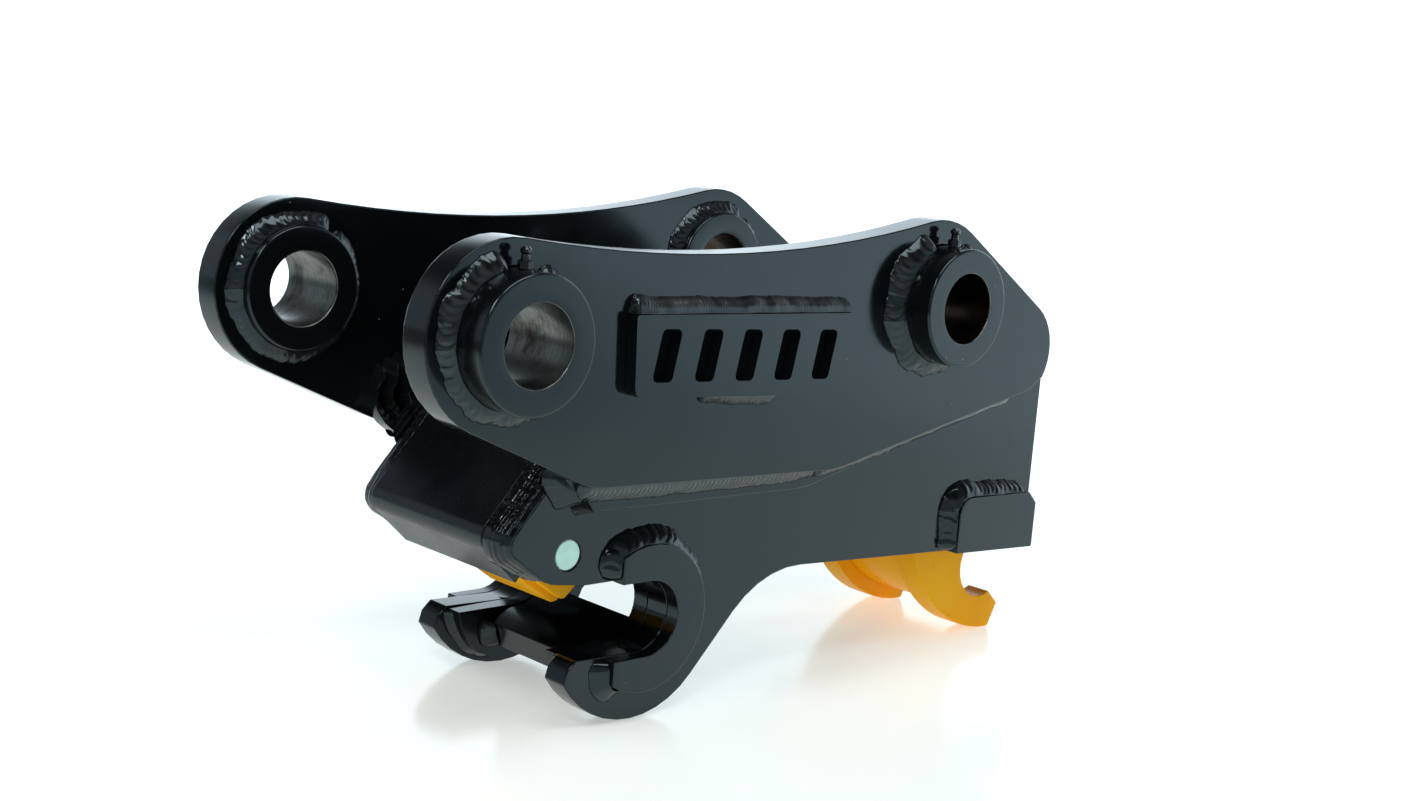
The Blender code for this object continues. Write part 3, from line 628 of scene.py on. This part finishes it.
def name_plate_welds():
    top = [(80.5, 256.3), (140.0, 255.5), (200.0, 254.6), (256.0, 253.5)]
    low = [(199.0, 205.6), (168.0, 206.7), (138.0, 207.7)]
    for side, sign in SIDES:
        face = EAR_Y[1] * sign
        bead(f"weld_name_top_{side}", flatwise(top, face), sign,
             ramped((0.0, 10.5), (0.1, 9.0), (1.0, 9.0)), level(8.2),
             section=fillet(0.84), turn=-1.0, pitch=1.9, ripple=0.30, highlight=0.9, seed=61.0 + sign,
             lumps=0.10, end=0.6)
        bead(f"weld_name_low_{side}", flatwise(low, face), sign, ramped((0.0, 7.5), (1.0, 5.5)),
             level(6.8), section=fillet(0.60), turn=-1.0, pitch=3.2, ripple=0.40, highlight=0.8,
             seed=67.0 + sign, lumps=0.2)


def nose_section(a, b, t):
    """Flush with the nose plate at first, then three ridges that step down to the side plate."""
    stations = ((0.0, 0.0), (0.16, 0.0), (0.33, 0.02), (0.42, 0.12), (0.50, 0.10), (0.60, 0.34),
                (0.68, 0.32), (0.80, 0.62), (0.87, 0.62), (1.0, 1.0))
    for (t0, d0), (t1, d1) in zip(stations[:-1], stations[1:]):
        if t <= t1:
            f = (t - t0) / (t1 - t0)
            drop = d0 + (d1 - d0) * f
            return a * (1.0 - drop) + b * t
    return b


def nose_welds():
    """The corner weld between the bent nose plate and each side plate's front edge."""
    fold = [(x, z) for x, _, z in ring((51.5, 118.2), 9.0, 139.0, 235.0, 0.0, 8)]
    edge = [(90.0, 175.8), (75.0, 158.7), (60.0, 141.5), (50.0, 130.1), *fold, (56.0, 104.0),
            (68.0, 95.4)]
    for side, sign, fold_width in (("near", -1.0, 7.4), ("far", 1.0, 5.2)):
        bead(f"weld_nose_{side}", flatwise(edge, BODY_INNER_Y * sign), sign,
             ramped((0.0, 8.1), (0.5, 8.1), (0.62, fold_width), (0.86, 0.75 * fold_width), (1.0, 3.0)),
             level(17.8), section=nose_section, pitch=7.0, ripple=0.30, seed=71.0 + sign, lumps=0.14,
             across=36, end=0.2)


def gusset_welds():
    """Heavy built-up weld between each ear's chin, its packing plate and the nose."""
    passes = (
        ((61.0, 195.0), (56.5, 182.0), (56.0, 170.0), (62.0, 159.0), (73.0, 150.5)),
        ((67.0, 199.0), (63.0, 186.0), (62.5, 173.0), (68.5, 161.0), (79.0, 152.0)),
        ((74.0, 202.0), (70.0, 190.0), (70.0, 176.0), (75.5, 164.5), (84.0, 155.0)),
    )
    for side, sign in SIDES:
        for k, line in enumerate(passes):
            bead(f"weld_gusset_{k}_{side}", flatwise(line, GUSSET_WELD_Y * sign), -sign, level(8.5),
                 level(10.0 + 6.5 * k), section=fillet(0.78), turn=-1.0, pitch=6.0, ripple=0.75,
                 highlight=1.0, seed=80.0 + 3.0 * k + sign, lumps=0.55, end=1.0)


def seat_welds():
    """Corner beads where the pin seat meets each inner hook plate."""
    line = [(118.3, 36.0), (119.5, 30.0), (122.0, 24.0), (124.6, 18.0)]
    for side, sign in SIDES:
        bead(f"weld_seat_{side}", flatwise(line, SEAT_WELD_Y * sign), -sign, level(7.0), level(11.0),
             section=fillet(0.68), pitch=5.0, ripple=0.5, seed=91.0 + sign, lumps=0.35, end=1.5)


boss_welds()
ear_welds()
hook_welds()
pad_welds()
name_plate_welds()
nose_welds()
gusset_welds()
seat_welds()


# ------------ finishes for the CAD nodes that stay

for name, obj in NODES.items():
    paint = SLOT_PAINT[slot_of(name)]
    if name.startswith("grease_nipple"):
        paint = NIPPLE
    obj.data.materials.clear()
    obj.data.materials.append(paint)


# ------------ stage, light and camera

BRIGHT_SIDE = (1.0, 0.35, 0.0)          # the way the far glow and the horizon grow brighter
DIM, BRIGHT = 0.40, 1.58
TURN_FROM, TURN_TO = 0.05, 0.75         # where the horizon goes from dim to bright
NEAR_CORNER = (-0.84, -0.89, 0.0)       # the floor glow is graded by heading from here
HEADING_FROM, HEADING_TO = 0.15, 0.60
FAR_SIDE = (1.0, 0.6, 0.0)              # the floor glow also falls off away from this side
FAR_FROM, FAR_TO = -0.4, 0.6
FALL_OFF = 0.40
FAR_GLOW = (0.88, 1.0, 1.08, 1.0)
FADE_FROM, FADE_TO = 0.75, 1.6          # metres over which the floor turns into its glow
FLOOR_TONES = (0.78, 0.82, 0.81, 1.0), (0.81, 0.85, 0.84, 1.0)
FLOOR_EMISSION = (0.92, 0.97, 0.93, 1.0)
FLOOR_HALF = 12.0
FLOOR_CUTS = 12
FLOOR_Z = -0.0004


def floor_material():
    """Pale glossy studio floor that gives off a little light and fades into a glow far away."""
    tree = Tree("studio_floor")
    reach = tree.nodes.new("ShaderNodeVectorMath")
    reach.operation = "LENGTH"
    tree.links.new(tree.where, reach.inputs[0])
    fade = tree.ramp(reach.outputs["Value"], FADE_FROM, FADE_TO)
    tone = tree.mix(tree.noise(1.3, 2.0), *FLOOR_TONES)
    rough = tree.ramp(tree.noise(4.0, 3.0), 0.3, 0.7, 0.15, 0.21, smooth=False)
    tree.set(Base_Color=tone, Roughness=rough, Emission_Color=FLOOR_EMISSION,
             Emission_Strength=0.44)
    from_corner = tree.nodes.new("ShaderNodeVectorMath")
    from_corner.operation = "SUBTRACT"
    from_corner.inputs[1].default_value = NEAR_CORNER
    tree.links.new(tree.where, from_corner.inputs[0])
    heading = tree.nodes.new("ShaderNodeVectorMath")
    heading.operation = "NORMALIZE"
    tree.links.new(from_corner.outputs["Vector"], heading.inputs[0])
    side = tree.nodes.new("ShaderNodeVectorMath")
    side.operation = "DOT_PRODUCT"
    side.inputs[1].default_value = BRIGHT_SIDE
    tree.links.new(heading.outputs["Vector"], side.inputs[0])
    glow = tree.nodes.new("ShaderNodeEmission")
    glow.inputs["Color"].default_value = FAR_GLOW
    across = tree.nodes.new("ShaderNodeVectorMath")
    across.operation = "DOT_PRODUCT"
    across.inputs[1].default_value = FAR_SIDE
    tree.links.new(tree.where, across.inputs[0])
    by_heading = tree.ramp(side.outputs["Value"], HEADING_FROM, HEADING_TO, DIM, BRIGHT)
    by_side = tree.ramp(across.outputs["Value"], FAR_FROM, FAR_TO, FALL_OFF, 1.0)
    tree.links.new(tree.math("MULTIPLY", by_heading, by_side), glow.inputs["Strength"])
    blend = tree.nodes.new("ShaderNodeMixShader")
    tree.links.new(fade, blend.inputs[0])
    tree.links.new(tree.shader.outputs[0], blend.inputs[1])
    tree.links.new(glow.outputs[0], blend.inputs[2])
    output = tree.nodes["Material Output"]
    tree.links.new(blend.outputs[0], output.inputs["Surface"])
    return tree.material


def add_floor():
    data = bmesh.new()
    marks = [-FLOOR_HALF + 2.0 * FLOOR_HALF * i / FLOOR_CUTS for i in range(FLOOR_CUTS + 1)]
    verts = [[data.verts.new((x, y, FLOOR_Z)) for y in marks] for x in marks]
    for i in range(FLOOR_CUTS):
        for j in range(FLOOR_CUTS):
            data.faces.new((verts[i][j], verts[i + 1][j], verts[i + 1][j + 1], verts[i][j + 1]))
    mesh = bpy.data.meshes.new("studio_floor")
    data.to_mesh(mesh)
    data.free()
    mesh.materials.append(floor_material())
    link(bpy.data.objects.new("studio_floor", mesh))


def add_world():
    """A bright horizon behind the object, dimmer to the sides, and a dark ceiling."""
    world = bpy.data.worlds.new("studio")
    bpy.context.scene.world = world
    world.use_nodes = True
    nodes = world.node_tree.nodes
    links = world.node_tree.links
    where = nodes.new("ShaderNodeTexCoord")
    parts = nodes.new("ShaderNodeSeparateXYZ")
    links.new(where.outputs["Generated"], parts.inputs[0])

    def ranged(source, low, high, to_low, to_high):
        node = nodes.new("ShaderNodeMapRange")
        node.interpolation_type = "SMOOTHSTEP"
        node.inputs["From Min"].default_value = low
        node.inputs["From Max"].default_value = high
        node.inputs["To Min"].default_value = to_low
        node.inputs["To Max"].default_value = to_high
        links.new(source, node.inputs["Value"])
        return node.outputs["Result"]

    height = ranged(parts.outputs["Z"], 0.36, 0.58, 1.0, 0.10)
    facing = nodes.new("ShaderNodeVectorMath")
    facing.operation = "DOT_PRODUCT"
    facing.inputs[1].default_value = BRIGHT_SIDE
    links.new(where.outputs["Generated"], facing.inputs[0])
    around = ranged(facing.outputs["Value"], TURN_FROM, TURN_TO, DIM, BRIGHT)
    both = nodes.new("ShaderNodeMath")
    both.operation = "MULTIPLY"
    links.new(height, both.inputs[0])
    links.new(around, both.inputs[1])
    background = nodes["Background"]
    background.inputs["Color"].default_value = FAR_GLOW
    links.new(both.outputs["Value"], background.inputs["Strength"])


def add_area(name, place, target, size, power):
    lamp = bpy.data.lights.new(name, "AREA")
    lamp.shape = "RECTANGLE"
    lamp.size, lamp.size_y = size
    lamp.energy = power
    obj = link(bpy.data.objects.new(name, lamp))
    obj.location = place
    aim = Vector(target) - Vector(place)
    obj.rotation_euler = aim.to_track_quat("-Z", "Y").to_euler()


CAMERA_AT = (-0.8406, -0.8926, 0.3820)
CAMERA_AHEAD = (0.68719, 0.7080, -0.16258)
CAMERA_UP = (0.05472, 0.1727, 0.98344)
LENS_MM = 48.02
SENSOR_MM = 36.0


def add_camera():
    """The photo's camera, as solved from the four round bosses and the plate edges."""
    lens = bpy.data.cameras.new("camera")
    lens.lens = LENS_MM
    lens.sensor_width = SENSOR_MM
    lens.sensor_fit = "HORIZONTAL"
    lens.clip_start = 0.01
    lens.clip_end = 100.0
    obj = link(bpy.data.objects.new("camera", lens))
    ahead = Vector(CAMERA_AHEAD).normalized()
    right = ahead.cross(Vector(CAMERA_UP)).normalized()
    up = right.cross(ahead)
    obj.matrix_world = Matrix((
        (right.x, up.x, -ahead.x, CAMERA_AT[0]),
        (right.y, up.y, -ahead.y, CAMERA_AT[1]),
        (right.z, up.z, -ahead.z, CAMERA_AT[2]),
        (0.0, 0.0, 0.0, 1.0),
    ))
    bpy.context.scene.camera = obj


add_floor()
add_world()
add_area("soft_overhead", (-0.05, -0.75, 2.0), (0.0, 0.0, 0.1), (1.5, 0.9), 19.0)
add_area("soft_front", (-1.35, -0.95, 1.45), (-0.1, 0.0, 0.15), (0.45, 0.30), 5.0)
add_area("soft_left", (-1.3, -0.35, 1.7), (0.0, 0.0, 0.15), (0.45, 0.35), 8.0)
add_camera()
bpy.context.scene.view_settings.view_transform = "Standard"
